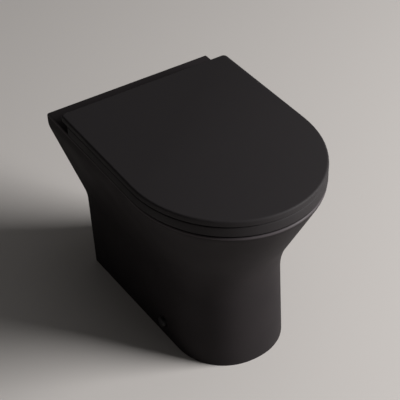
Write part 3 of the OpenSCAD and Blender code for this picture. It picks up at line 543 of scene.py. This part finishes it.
class Workpiece:
    """A piece on the bench, while it is modelled."""

    def __init__(self, name: str, piece: bpy.types.Object) -> None:
        """Takes up an object under a name."""
        self.piece = piece
        piece.name = piece.data.name = name

    @classmethod
    def added(cls, name: str, primitive: Callable[..., set[str]], **settings: object) -> "Workpiece":
        """Adds a primitive as the start of a piece.

        Args:
            name: the piece's name.
            primitive: the operator that adds it.
            settings: the operator's settings.

        Returns:
            The primitive on the bench.
        """
        deselect_all()
        primitive(**settings)
        return cls(name, bpy.context.object)

    @classmethod
    def turned(cls, name: str, profile: Profile, segments: int) -> "Workpiece":
        """Turns a piece about the z axis, by drawing one point along its profile and spinning that.

        Args:
            name: the piece's name.
            profile: the radius and height of each point, in mm.
            segments: how many sides the round has.

        Returns:
            The turned piece on the bench.
        """
        work = cls.added(name, bpy.ops.mesh.primitive_plane_add, size=MM)
        places = [Vector((radius, 0, height)) * MM for radius, height in profile]
        with work.editing(Element.POINTS):
            bpy.ops.mesh.select_all(action="SELECT")
            bpy.ops.mesh.merge(type="CENTER")
            bpy.ops.transform.translate(value=places[0])
            for here, there in zip(places, places[1:]):
                bpy.ops.mesh.extrude_vertices_move(TRANSFORM_OT_translate={"value": there - here})
            bpy.ops.mesh.select_all(action="SELECT")
            bpy.ops.mesh.spin(steps=segments, angle=math.tau, center=(0, 0, 0), axis=(0, 0, 1))
            bpy.ops.mesh.select_all(action="SELECT")
            bpy.ops.mesh.remove_doubles(threshold=CLOSE_MM * MM)
            bpy.ops.mesh.delete_loose()
            bpy.ops.mesh.select_all(action="SELECT")
            bpy.ops.mesh.normals_make_consistent(inside=False)
        return work

    @classmethod
    def merged_copy(cls, name: str, node: str) -> "Workpiece":
        """Copies a node's mesh, joins its loose triangles and dissolves its flat faces.

        Args:
            name: the piece's name.
            node: the node that is copied.

        Returns:
            The copy on the bench.
        """
        deselect_all()
        copy = bpy.data.objects.new(name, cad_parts[node].data.copy())
        bpy.context.scene.collection.objects.link(copy)
        copy.data.materials.clear()
        work = cls(name, copy)
        with work.editing(Element.POINTS):
            bpy.ops.mesh.customdata_custom_splitnormals_clear()
            bpy.ops.mesh.select_all(action="SELECT")
            bpy.ops.mesh.remove_doubles(threshold=WELD_MM * MM)
            bpy.ops.mesh.dissolve_limited(angle_limit=math.radians(FLAT))
        return work

    @classmethod
    def softened_copy(cls, name: str, node: str, edge_mm: float, finish: Finish) -> "Workpiece":
        """Copies a node's mesh, rounds its sharp edges and dresses it.

        Args:
            name: the piece's name.
            node: the node that is copied.
            edge_mm: the radius of the edges.
            finish: what the piece is made of.

        Returns:
            The copy on the bench.
        """
        work = cls.merged_copy(name, node)
        work.soften(edge_mm)
        work.smooth()
        work.dress(finish)
        return work

    def mirrored(self, name: str) -> "Workpiece":
        """Copies the piece, with its own mesh, to the other side of the pan.

        Args:
            name: the copy's name.

        Returns:
            The copy on the bench.
        """
        copy = self.piece.copy()
        copy.data = self.piece.data.copy()
        bpy.context.scene.collection.objects.link(copy)
        copy.data.transform(Matrix.Diagonal((-1, 1, 1, 1)))
        copy.data.flip_normals()
        return Workpiece(name, copy)

    def hold(self) -> None:
        """Selects this piece alone and makes it active."""
        deselect_all()
        bpy.context.view_layer.objects.active = self.piece
        self.piece.select_set(True)

    @contextmanager
    def editing(self, element: Element) -> Iterator[None]:
        """Opens the piece in edit mode.

        Args:
            element: the kind of element that is selected there.

        Yields:
            Nothing, while the piece is open.
        """
        self.hold()
        bpy.ops.object.mode_set(mode="EDIT")
        bpy.ops.mesh.select_mode(type=element.value)
        yield
        bpy.ops.object.mode_set(mode="OBJECT")

    def pick(self, test: Callable[[bmesh.types.BMFace], bool]) -> None:
        """Selects the faces that pass a test, in edit mode.

        Args:
            test: takes a face of the open mesh and says whether to select it.
        """
        bpy.ops.mesh.select_all(action="DESELECT")
        shape = bmesh.from_edit_mesh(self.piece.data)
        for face in filter(test, shape.faces):
            face.select_set(True)
        shape.select_flush_mode()
        bmesh.update_edit_mesh(self.piece.data)

    def modify(self, kind: str, **settings: object) -> None:
        """Adds a modifier and applies it.

        Args:
            kind: the modifier's type.
            settings: the modifier's settings.
        """
        self.hold()
        modifier = self.piece.modifiers.new(kind.lower(), kind)
        for name, value in settings.items():
            setattr(modifier, name, value)
        bpy.ops.object.modifier_apply(modifier=modifier.name)

    def join(self, other: "Workpiece", how: Join) -> None:
        """Joins another piece to this one, or cuts it away, and clears it from the bench.

        Args:
            other: the other piece.
            how: whether it is joined or cut away.
        """
        self.modify("BOOLEAN", operation=how.value, solver="EXACT", object=other.piece)
        bpy.data.objects.remove(other.piece, do_unlink=True)
        with self.editing(Element.POINTS):
            bpy.ops.mesh.select_all(action="SELECT")
            bpy.ops.mesh.remove_doubles(threshold=WELD_MM * MM)
            bpy.ops.mesh.dissolve_degenerate(threshold=WELD_MM * MM)

    def settle(self) -> None:
        """Puts the piece's place and turn into its mesh, and cuts its faces into well-shaped triangles."""
        bpy.context.view_layer.update()
        self.piece.data.transform(self.piece.matrix_world)
        self.piece.matrix_world = Matrix.Identity(4)
        with self.editing(Element.FACES):
            bpy.ops.mesh.select_all(action="SELECT")
            bpy.ops.mesh.quads_convert_to_tris(quad_method="BEAUTY", ngon_method="BEAUTY")

    def smooth(self, angle: float = CURVE) -> None:
        """Shades the piece smooth, but keeps its sharper edges.

        Args:
            angle: the angle in degrees under which faces belong to one curve.
        """
        self.hold()
        bpy.ops.object.shade_smooth_by_angle(angle=math.radians(angle))

    def soften(self, width_mm: float, angle: float = SHARP) -> None:
        """Rounds the sharp edges.

        Args:
            width_mm: the radius of the rounding.
            angle: how sharp an edge is that gets rounded, in degrees.
        """
        self.modify(
            "BEVEL", width=width_mm * MM, segments=2, limit_method="ANGLE",
            angle_limit=math.radians(angle), miter_outer="MITER_ARC", use_clamp_overlap=True,
        )

    def dress(self, *finishes: Finish) -> None:
        """Gives the piece its materials.

        Args:
            finishes: the finishes, in the order of the numbers that its faces use.
        """
        for finish in finishes:
            self.piece.data.materials.append(finish.material())

    def paint(self, test: Callable[[Vector, Vector], bool]) -> None:
        """Gives the second finish to some of the faces.

        Args:
            test: takes a face's middle and normal and says whether it gets the second finish.
        """
        for face in self.piece.data.polygons:
            face.material_index = int(test(face.center, face.normal))

    def deliver(self, body: Body, *nodes: str) -> None:
        """Stands the piece in place of its nodes and makes it ride.

        Args:
            body: the body that carries the piece.
            nodes: the nodes that the piece stands for.
        """
        self.settle()
        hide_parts(*nodes)
        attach(self.piece, body.value)
        log.info("%s: %d faces, rides on %s", self.piece.name, len(self.piece.data.polygons), body.value)


def sides(word: str) -> tuple[str, str]:
    """Returns a name for the left side and for the right."""
    return f"left_{word}", f"right_{word}"


def deliver_pair(
    work: Workpiece, names: tuple[str, str], nodes: tuple[str, str], bodies: tuple[Body, Body] = ON_PAN
) -> None:
    """Delivers a right-hand piece and its copy on the left.

    Args:
        work: the right-hand piece.
        names: the names of the left piece and the right piece.
        nodes: the nodes that they stand for, the left one first.
        bodies: the bodies that carry them, the left one first.
    """
    work.settle()
    work.mirrored(names[0]).deliver(bodies[0], nodes[0])
    work.deliver(bodies[1], nodes[1])


# ---- The sub-assemblies ----


@dataclass
class PanCasting:
    """The pan: one casting of vitreous china, glazed where it shows and raw inside the skirt.

    Attributes:
        deck_under: the height of the deck's underside.
        bowl_axis: how far back the bowl's axis lies.
        trap_level: the height at which the trapway's bends meet.
        trap_bends: the place and radius of the trapway's three bends, from the bowl to the outlet.
        trap_wall: the distance from the trapway's centre line to the middle of its wall.
        inlet_bore: the radius within which the flush inlet is glazed.
        inlet_height: the height of the flush inlet.
        margin: how far above the deck's underside a face still belongs to it.
        skirt_level: the share of a face's normal that points down where it is an underside of the shell.
        bowl_level: the share that points up or down where it is a ledge of the bowl's wall.
        seam_level: the share that points sideways where it is the seam between the trapway's halves.
    """

    deck_under: float = 0.386
    bowl_axis: float = -0.06
    trap_level: float = 0.231
    trap_bends: tuple[tuple[float, float], ...] = ((-0.005, 0.077), (0.123, 0.051), (0.225, 0.051))
    trap_wall: float = 0.043
    inlet_bore: float = 0.029
    inlet_height: float = 0.345
    margin: float = 0.0001
    skirt_level: float = 0.9
    bowl_level: float = 0.8
    seam_level: float = 0.999

    def build(self) -> None:
        """Models and dresses the casting."""
        pan = self.section("pan_casting", "pan_shell", self.in_skirt)
        pan.join(self.section("bowl_wall", "bowl", self.behind_bowl), Join.UNITE)
        pan.smooth()
        pan.deliver(Body.PAN, "pan_shell", "bowl")
        trap = self.section("trapway_casting", "left_trapway", self.round_trapway)
        with trap.editing(Element.FACES):
            trap.pick(self.on_seam)
            bpy.ops.mesh.delete(type="FACE")
        trap.modify("MIRROR", use_mirror_merge=True, merge_threshold=CLOSE_MM * MM)
        trap.join(self.section("spigot_wall", "outlet_spigot", lambda place, normal: False), Join.UNITE)
        trap.smooth()
        trap.deliver(Body.PAN, "left_trapway", "right_trapway", "outlet_spigot")
        duct = self.section("duct_casting", "flush_duct", self.round_duct)
        duct.smooth()
        duct.deliver(Body.PAN, "flush_duct")

    @staticmethod
    def section(name: str, node: str, raw: Callable[[Vector, Vector], bool]) -> Workpiece:
        """Copies a section of the casting.

        Args:
            name: the section's name.
            node: the node that holds its shape.
            raw: says whether a face at a place and with a normal was left unglazed.

        Returns:
            The section, glazed and raw.
        """
        work = Workpiece.merged_copy(name, node)
        work.dress(MATT_GLAZE, RAW_CLAY)
        work.paint(raw)
        return work

    def on_seam(self, face: bmesh.types.BMFace) -> bool:
        """Says whether a face of the left half of the trapway is its seam with the right half."""
        return face.normal.x > self.seam_level and abs(face.calc_center_median().x) < CLOSE_MM * MM

    def in_skirt(self, place: Vector, normal: Vector) -> bool:
        """Says whether a face of the shell looks into the skirt's hollow or stands on the floor."""
        inward = place.x * normal.x + place.y * normal.y < 0
        return place.z <= self.deck_under + self.margin and (normal.z < -self.skirt_level or inward)

    def behind_bowl(self, place: Vector, normal: Vector) -> bool:
        """Says whether a face of the bowl's wall looks into the skirt's hollow."""
        outward = place.x * normal.x + (place.y - self.bowl_axis) * normal.y > 0
        return normal.z < 0 if abs(normal.z) > self.bowl_level else outward

    def round_trapway(self, place: Vector, normal: Vector) -> bool:
        """Says whether a face lies on the outside of the trapway.

        Args:
            place: the face's middle.
            normal: its normal, which this test has no need of.

        Returns:
            Whether it was left unglazed.
        """
        if place.z > self.trap_level:
            middle, radius = self.trap_bends[1]
        else:
            middle, radius = self.trap_bends[0 if place.y < self.trap_bends[1][0] else 2]
        off = math.hypot(place.y - middle, place.z - self.trap_level) - radius
        return math.hypot(off, place.x) > self.trap_wall

    def round_duct(self, place: Vector, normal: Vector) -> bool:
        """Says whether a face of the duct lies outside its bore."""
        return math.hypot(place.x, place.z - self.inlet_height) > self.inlet_bore


@dataclass
class SeatAndLid:
    """The seat ring and the lid, both moulded in urea, with their rubber pads.

    Attributes:
        pad_edge_mm: the radius of the pads' edges.
        pad_sharp: how sharp an edge of a pad is that gets rounded, in degrees.
        pad_curve: the angle in degrees under which a pad's faces belong to one curve.
    """

    pad_edge_mm: float = 0.7
    pad_sharp: float = 60.0
    pad_curve: float = 40.0

    def build(self) -> None:
        """Models and dresses the seat, the lid and their pads."""
        mouldings = (("seat_moulding", "seat_ring", Body.SEAT), ("lid_moulding", "lid", Body.LID))
        for name, node, body in mouldings:
            work = Workpiece.merged_copy(name, node)
            work.smooth()
            work.dress(UREA)
            work.deliver(body, node)
        pads = (("seat_pads", "seat_buffers", Body.SEAT), ("lid_pads", "lid_buffers", Body.LID))
        for name, node, body in pads:
            work = Workpiece.merged_copy(name, node)
            work.soften(self.pad_edge_mm, self.pad_sharp)
            work.smooth(self.pad_curve)
            work.dress(BLACK_RUBBER)
            work.deliver(body, node)


@dataclass(frozen=True)
class Turning:
    """A turned piece that is the same on both sides of the pan.

    Attributes:
        label: the piece's name without its side.
        node: the node's name without its side.
        finish: what it is made of.
        profile: the radius and height of each of its points in mm.
        socket_mm: the radius, depth and mouth of the hex socket in its top, if it has one.
        segments: how many sides its round has.
        bodies: the bodies that carry the pair, the left one first.
    """

    label: str
    node: str
    finish: Finish
    profile: Profile
    socket_mm: tuple[float, float, float] | None = None
    segments: int = 40
    bodies: tuple[Body, Body] = ON_PAN

    def build(self, place: tuple[float, float, float], tilt: float = 0.0) -> None:
        """Turns the piece, places it on the right, dresses it and delivers it on both sides.

        Args:
            place: where its own origin goes.
            tilt: how far its axis leans from upright to the right, in radians.
        """
        work = Workpiece.turned(f"right_{self.label}", self.profile, self.segments)
        if self.socket_mm:
            work.join(self.socket_tool(), Join.CUT)
        work.piece.rotation_euler.y = tilt
        work.piece.location = place
        work.smooth(TURNED_CURVE)
        work.dress(self.finish)
        deliver_pair(work, sides(self.label), sides(self.node), self.bodies)

    def socket_tool(self) -> Workpiece:
        """Makes the tool that cuts the hex socket.

        Returns:
            The tool, which reaches as far above the socket's mouth as below it.
        """
        radius, depth, mouth = (size * MM for size in self.socket_mm)
        return Workpiece.added(
            "socket", bpy.ops.mesh.primitive_cylinder_add, vertices=6, radius=radius, depth=2 * depth,
            location=(0, 0, mouth), rotation=(0, 0, math.radians(SOCKET_TURN)),
        )


@dataclass
class Hinges:
    """The two hinge posts with all that holds them, their blocks, sliders, dampers and shafts.

    Attributes:
        post_place: where the right post stands.
        post: the post, with a thread, a flange that sits on the deck and a head for the slider.
        gasket: the gasket under the flange.
        plug: the rubber plug in the deck, with three grooves round it.
        nut: the brass nut that swells the plug.
        edge_mm: the radius of the edges of the blocks, the dampers and the shafts.
        thumb_x: the side of the slider that the thumb meets.
        grip_mm: the pitch, width and depth of the grip grooves in it.
        grips: how many grip grooves there are.
        slider_edge_mm: the radius of the slider's edges.
        slider_curve: the angle in degrees under which the slider's faces belong to one curve.
    """

    post_place: tuple[float, float, float] = (0.0775, 0.1767, 0.0)
    post: Turning = Turning(
        "post", "hinge_post", TURNED_STEEL,
        (
            (0, 359), (2.15, 359), *thread(crest=2.95, depth=0.45, start=359.8, end=400.8), (2.95, 401.1),
            (2.95, 401.5), (16.1, 401.5), (16.5, 401.9), (16.5, 403.7), (15.7, 404.5), (6.4, 404.5),
            (6, 404.9), (6, 406.5), (4, 406.5), (4, 410.4), (6, 410.4), (6, 411.8), (5.2, 412.6), (0, 412.6),
        ),
        socket_mm=(2.9, 4.0, 412.6),
    )
    gasket: Turning = Turning(
        "gasket", "post_gasket", GREY_RUBBER,
        ((3.05, 400), (16.1, 400), (16.5, 400.4), (16.5, 401.1), (16.1, 401.5), (3.05, 401.5), (3.05, 400)),
    )
    plug: Turning = Turning(
        "plug", "expansion_plug", GREY_RUBBER,
        (
            (3.05, 372), (6.3, 372), (6.8, 372.5), *groove(6.8, 375.5), *groove(6.8, 379.0),
            *groove(6.8, 382.5), (6.8, 399.6), (6.4, 400), (3.05, 400), (3.05, 372),
        ),
    )
    nut: Turning = Turning(
        "brass_nut", "plug_nut", TURNED_BRASS,
        ((3, 362), (5.1, 362), (5.54, 362.4), (6.46, 371.6), (6.1, 372), (3, 372), (3, 362)),
    )
    edge_mm: float = 0.4
    thumb_x: float = 0.052
    grip_mm: tuple[float, float, float] = (3.0, 1.0, 0.5)
    grips: int = 7
    slider_edge_mm: float = 0.2
    slider_curve: float = 35.0

    def build(self) -> None:
        """Models and dresses the hinges."""
        for turning in (self.post, self.gasket, self.plug, self.nut):
            turning.build(self.post_place)
        block = Workpiece.softened_copy("right_block", "right_hinge_block", self.edge_mm, ACETAL)
        deliver_pair(block, sides("block"), sides("hinge_block"))
        self.build_slider()
        self.build_dampers()

    def build_slider(self) -> None:
        """Copies the release slider and cuts grip grooves into the side that the thumb pushes."""
        pitch, width, depth = (size * MM for size in self.grip_mm)
        middle = self.post_place[1]
        low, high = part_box("right_release_button")
        bottom, top = low[2] + width, high[2] - width
        rows = range(-(self.grips // 2), self.grips // 2 + 1)
        slider = Workpiece.merged_copy("right_slider", "right_release_button")

        def on_thumb(face: bmesh.types.BMFace) -> bool:
            """Says whether a face is on the thumb's side."""
            return abs(face.calc_center_median().x - self.thumb_x) < CLOSE_MM * MM

        def in_groove(face: bmesh.types.BMFace) -> bool:
            """Says whether a face on the thumb's side lies in a groove, clear of the top and the bottom.

            Args:
                face: the face.

            Returns:
                Whether it lies there.
            """
            place = face.calc_center_median()
            across = (place.y - middle + pitch / 2) % pitch - pitch / 2
            return on_thumb(face) and abs(across) < width / 2 and bottom < place.z < top

        with slider.editing(Element.FACES):
            for edge in (middle + row * pitch + half for row in rows for half in (-width / 2, width / 2)):
                slider.pick(on_thumb)
                bpy.ops.mesh.bisect(plane_co=(0, edge, 0), plane_no=(0, 1, 0))
            for edge in (bottom, top):
                slider.pick(on_thumb)
                bpy.ops.mesh.bisect(plane_co=(0, 0, edge), plane_no=(0, 0, 1))
            slider.pick(in_groove)
            bpy.ops.mesh.extrude_region_move(TRANSFORM_OT_translate={"value": (depth, 0, 0)})
        slider.soften(self.slider_edge_mm)
        slider.smooth(self.slider_curve)
        slider.dress(GREY_ACETAL)
        bodies = (Body.LEFT_BUTTON, Body.RIGHT_BUTTON)
        deliver_pair(slider, sides("slider"), sides("release_button"), bodies)

    def build_dampers(self) -> None:
        """Copies the dampers and their shafts: the lid's on the left and the seat's on the right."""
        damper = Workpiece.softened_copy("seat_damper_body", "seat_damper", self.edge_mm, NYLON)
        names = ("lid_damper_body", "seat_damper_body")
        deliver_pair(damper, names, ("lid_damper", "seat_damper"), (Body.LID, Body.SEAT))
        shaft = Workpiece.softened_copy("seat_shaft", "seat_damper_shaft", self.edge_mm, DRAWN_STEEL)
        deliver_pair(shaft, ("lid_shaft", "seat_shaft"), ("lid_damper_shaft", "seat_damper_shaft"))


@dataclass
class FloorFixings:
    """The brackets inside the skirt, with the screws, washers and caps that hold the pan to them.

    Each turned piece is drawn with its axis upright and then laid down, with its top outwards.

    Attributes:
        seat_place: where the right washer sits on the skirt.
        nut_place: where the right nylon nut's collar sits on its bracket.
        screw: the side screw, with its thread and its rounded head.
        washer: the cup washer under the screw's head.
        cap: the cap over the screw.
        nut: the nylon nut in the bracket.
        bracket_edge_mm: the radius of the bracket's edges.
    """

    seat_place: tuple[float, float, float] = (0.11031, -0.002, 0.033)
    nut_place: tuple[float, float, float] = (0.09781, -0.002, 0.033)
    screw: Turning = Turning(
        "screw", "side_screw", ZINC_PLATE,
        (
            (0, -30.5), (1.75, -30.5), *thread(crest=2.95, depth=0.45, start=-29.3, end=-0.3), (2.95, 0),
            (2.95, 2), (5.5, 2), (5.5, 4.3), (5.1, 4.9), (4.3, 5.5), (0, 5.5),
        ),
        socket_mm=(2.4, 2.5, 5.5),
    )
    washer: Turning = Turning(
        "washer", "cup_washer", NYLON,
        (
            (3.05, -7), (6.1, -7), (6.3, -6.8), (6.3, 0), (9.7, 0), (10, 0.3), (10, 1.7), (9.7, 2),
            (3.05, 2), (3.05, -7),
        ),
    )
    cap: Turning = Turning(
        "cap_piece", "screw_cap", ACETAL,
        (
            (10.05, 0), (11.3, 0), (11.5, 0.2), *rounding(radius=11.5, height=8, rise=3.5), (0, 8), (0, 6.2),
            (8.25, 6.2), (10.05, 4.4), (10.05, 0),
        ),
        segments=64, bodies=(Body.LEFT_CAP, Body.RIGHT_CAP),
    )
    nut: Turning = Turning(
        "nylon_nut", "bracket_nut", NYLON,
        ((3, -14), (5.5, -14), (5.95, -13.5), (5.95, 0), (8, 0), (8, 0.8), (7.6, 1.2), (3, 1.2), (3, -14)),
    )
    bracket_edge_mm: float = 0.5

    def build(self) -> None:
        """Models and dresses the fixings."""
        for turning in (self.screw, self.washer, self.cap):
            turning.build(self.seat_place, math.pi / 2)
        self.nut.build(self.nut_place, math.pi / 2)
        edge = self.bracket_edge_mm
        bracket = Workpiece.softened_copy("right_bracket", "right_floor_bracket", edge, ZINC_PLATE)
        deliver_pair(bracket, sides("bracket"), sides("floor_bracket"))


@dataclass
class FlushSpreader:
    """The moulded spreader in the mouth of the flush duct.

    Attributes:
        edge_mm: the radius of its edges.
    """

    edge_mm: float = 0.5

    def build(self) -> None:
        """Models and dresses the spreader."""
        work = Workpiece.softened_copy("spreader", "flush_spreader", self.edge_mm, ACETAL)
        work.deliver(Body.PAN, "flush_spreader")


@dataclass
class Springs:
    """The wound springs that push the sliders back, and that shorten when a slider is pushed in.

    Attributes:
        travel_mm: how far the slider comes in; not used.
        wire_curve: the angle in degrees under which the wire's faces belong to one curve.
    """

    travel_mm: float = 3.0
    wire_curve: float = 60.0

    def build(self) -> None:
        """Copies and dresses the springs, and gives each its own mesh."""
        right = Workpiece.merged_copy("right_spring", "right_button_spring")
        right.smooth(self.wire_curve)
        right.dress(SPRING_WIRE)
        left = right.mirrored("left_spring")
        for work, side, outward in ((left, "left", -1.0), (right, "right", 1.0)):
            work.deliver(Body.PAN, f"{side}_button_spring")
            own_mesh(work.piece)


# ---- The studio ----


@dataclass(frozen=True)
class Camera:
    """The camera, which looks down on the pan from its front left.

    Attributes:
        azimuth: the direction that it looks from, in degrees, from the front towards the right.
        elevation: its height above the horizon in degrees.
        roll: how far it is turned about its own axis, in degrees.
        distance: the distance to the middle of its aim.
        aim: the point that it looks at.
        shift: how far the aim lies from the axis, to the right and up.
        lens_mm: the focal length.
        sensor_mm: the width of the sensor.
    """

    azimuth: float = -29.18
    elevation: float = 37.86
    roll: float = -3.74
    distance: float = 2.45135
    aim: tuple[float, float, float] = (0.0, 0.025, 0.210)
    shift: tuple[float, float] = (0.00013, -0.04586)
    lens_mm: float = 114.5
    sensor_mm: float = 36.0

    def build(self) -> None:
        """Makes the scene's camera."""
        turn, rise, roll = (math.radians(a) for a in (self.azimuth, self.elevation, self.roll))
        back = Vector((math.sin(turn) * math.cos(rise), -math.cos(turn) * math.cos(rise), math.sin(rise)))
        level = Vector((math.cos(turn), math.sin(turn), 0))
        upright = back.cross(level)
        right = math.cos(roll) * level + math.sin(roll) * upright
        up = back.cross(right)
        data = bpy.data.cameras.new("camera")
        data.lens = self.lens_mm
        data.sensor_width = self.sensor_mm
        camera = bpy.data.objects.new("camera", data)
        bpy.context.scene.collection.objects.link(camera)
        place = Vector(self.aim) - self.shift[0] * right - self.shift[1] * up + self.distance * back
        camera.matrix_world = Matrix.Translation(place) @ Matrix((right, up, back)).transposed().to_4x4()
        bpy.context.scene.camera = camera


@dataclass(frozen=True)
class SoftBox:
    """A square lamp that points at the pan.

    Attributes:
        name: the lamp's name.
        azimuth: the direction that it shines from, in degrees, from the front towards the right.
        elevation: its height above the horizon in degrees.
        distance: its distance from the pan.
        size: the length of its side.
        power: its power in watts.
    """

    name: str
    azimuth: float
    elevation: float
    distance: float
    size: float
    power: float

    def build(self, target: Vector) -> None:
        """Makes the lamp and points it.

        Args:
            target: the point that it shines at.
        """
        data = bpy.data.lights.new(self.name, "AREA")
        data.size = self.size
        data.energy = self.power
        lamp = bpy.data.objects.new(self.name, data)
        bpy.context.scene.collection.objects.link(lamp)
        turn, rise = math.radians(self.azimuth), math.radians(self.elevation)
        way = Vector((math.sin(turn) * math.cos(rise), -math.cos(turn) * math.cos(rise), math.sin(rise)))
        lamp.location = target + way * self.distance
        lamp.rotation_euler = way.to_track_quat("Z", "Y").to_euler()


@dataclass
class Studio:
    """A plain pale floor, two soft boxes and an even surround.

    Attributes:
        floor_side: the length of the floor's side.
        floor_colour: the floor's colour in sRGB.
        floor_roughness: the floor's roughness.
        surround_colour: the surround's colour in sRGB.
        surround_strength: the surround's strength.
        lamps: the soft boxes.
    """

    floor_side: float = 14.0
    floor_colour: str = "#cac5c1"
    floor_roughness: float = 0.7
    surround_colour: str = "#f4f2f0"
    surround_strength: float = 0.06
    lamps: tuple[SoftBox, ...] = (
        SoftBox("key", azimuth=50.0, elevation=26.0, distance=5.5, size=2.6, power=530.0),
        SoftBox("top", azimuth=20.0, elevation=75.0, distance=4.0, size=2.0, power=8.0),
    )

    def build(self) -> None:
        """Makes the camera, the floor, the lamps and the surround."""
        Camera().build()
        for lamp in self.lamps:
            lamp.build(target=Vector((0, 0, CAD_BOX[1].z / 2)))
        self.lay_floor()
        self.set_surround()
        bpy.context.scene.view_settings.view_transform = "Standard"

    def lay_floor(self) -> None:
        """Lays the floor under the pan."""
        deselect_all()
        bpy.ops.mesh.primitive_plane_add(size=self.floor_side)
        floor = bpy.context.object
        floor.name = "floor"
        material = bpy.data.materials.new("painted_floor")
        material.use_nodes = True
        shader = material.node_tree.nodes["Principled BSDF"]
        shader.inputs["Base Color"].default_value = linear(self.floor_colour)
        shader.inputs["Roughness"].default_value = self.floor_roughness
        floor.data.materials.append(material)

    def set_surround(self) -> None:
        """Sets the light that comes from all round."""
        world = bpy.data.worlds.new("surround")
        world.use_nodes = True
        background = world.node_tree.nodes["Background"]
        background.inputs["Color"].default_value = linear(self.surround_colour)
        background.inputs["Strength"].default_value = self.surround_strength
        bpy.context.scene.world = world


def main() -> None:
    """Builds the studio and each sub-assembly in order."""
    logging.basicConfig(level=logging.INFO, format="%(message)s")
    Studio().build()
    for assembly in (PanCasting(), SeatAndLid(), Hinges(), FloorFixings(), FlushSpreader(), Springs()):
        assembly.build()


if __name__ == "__main__":
    main()
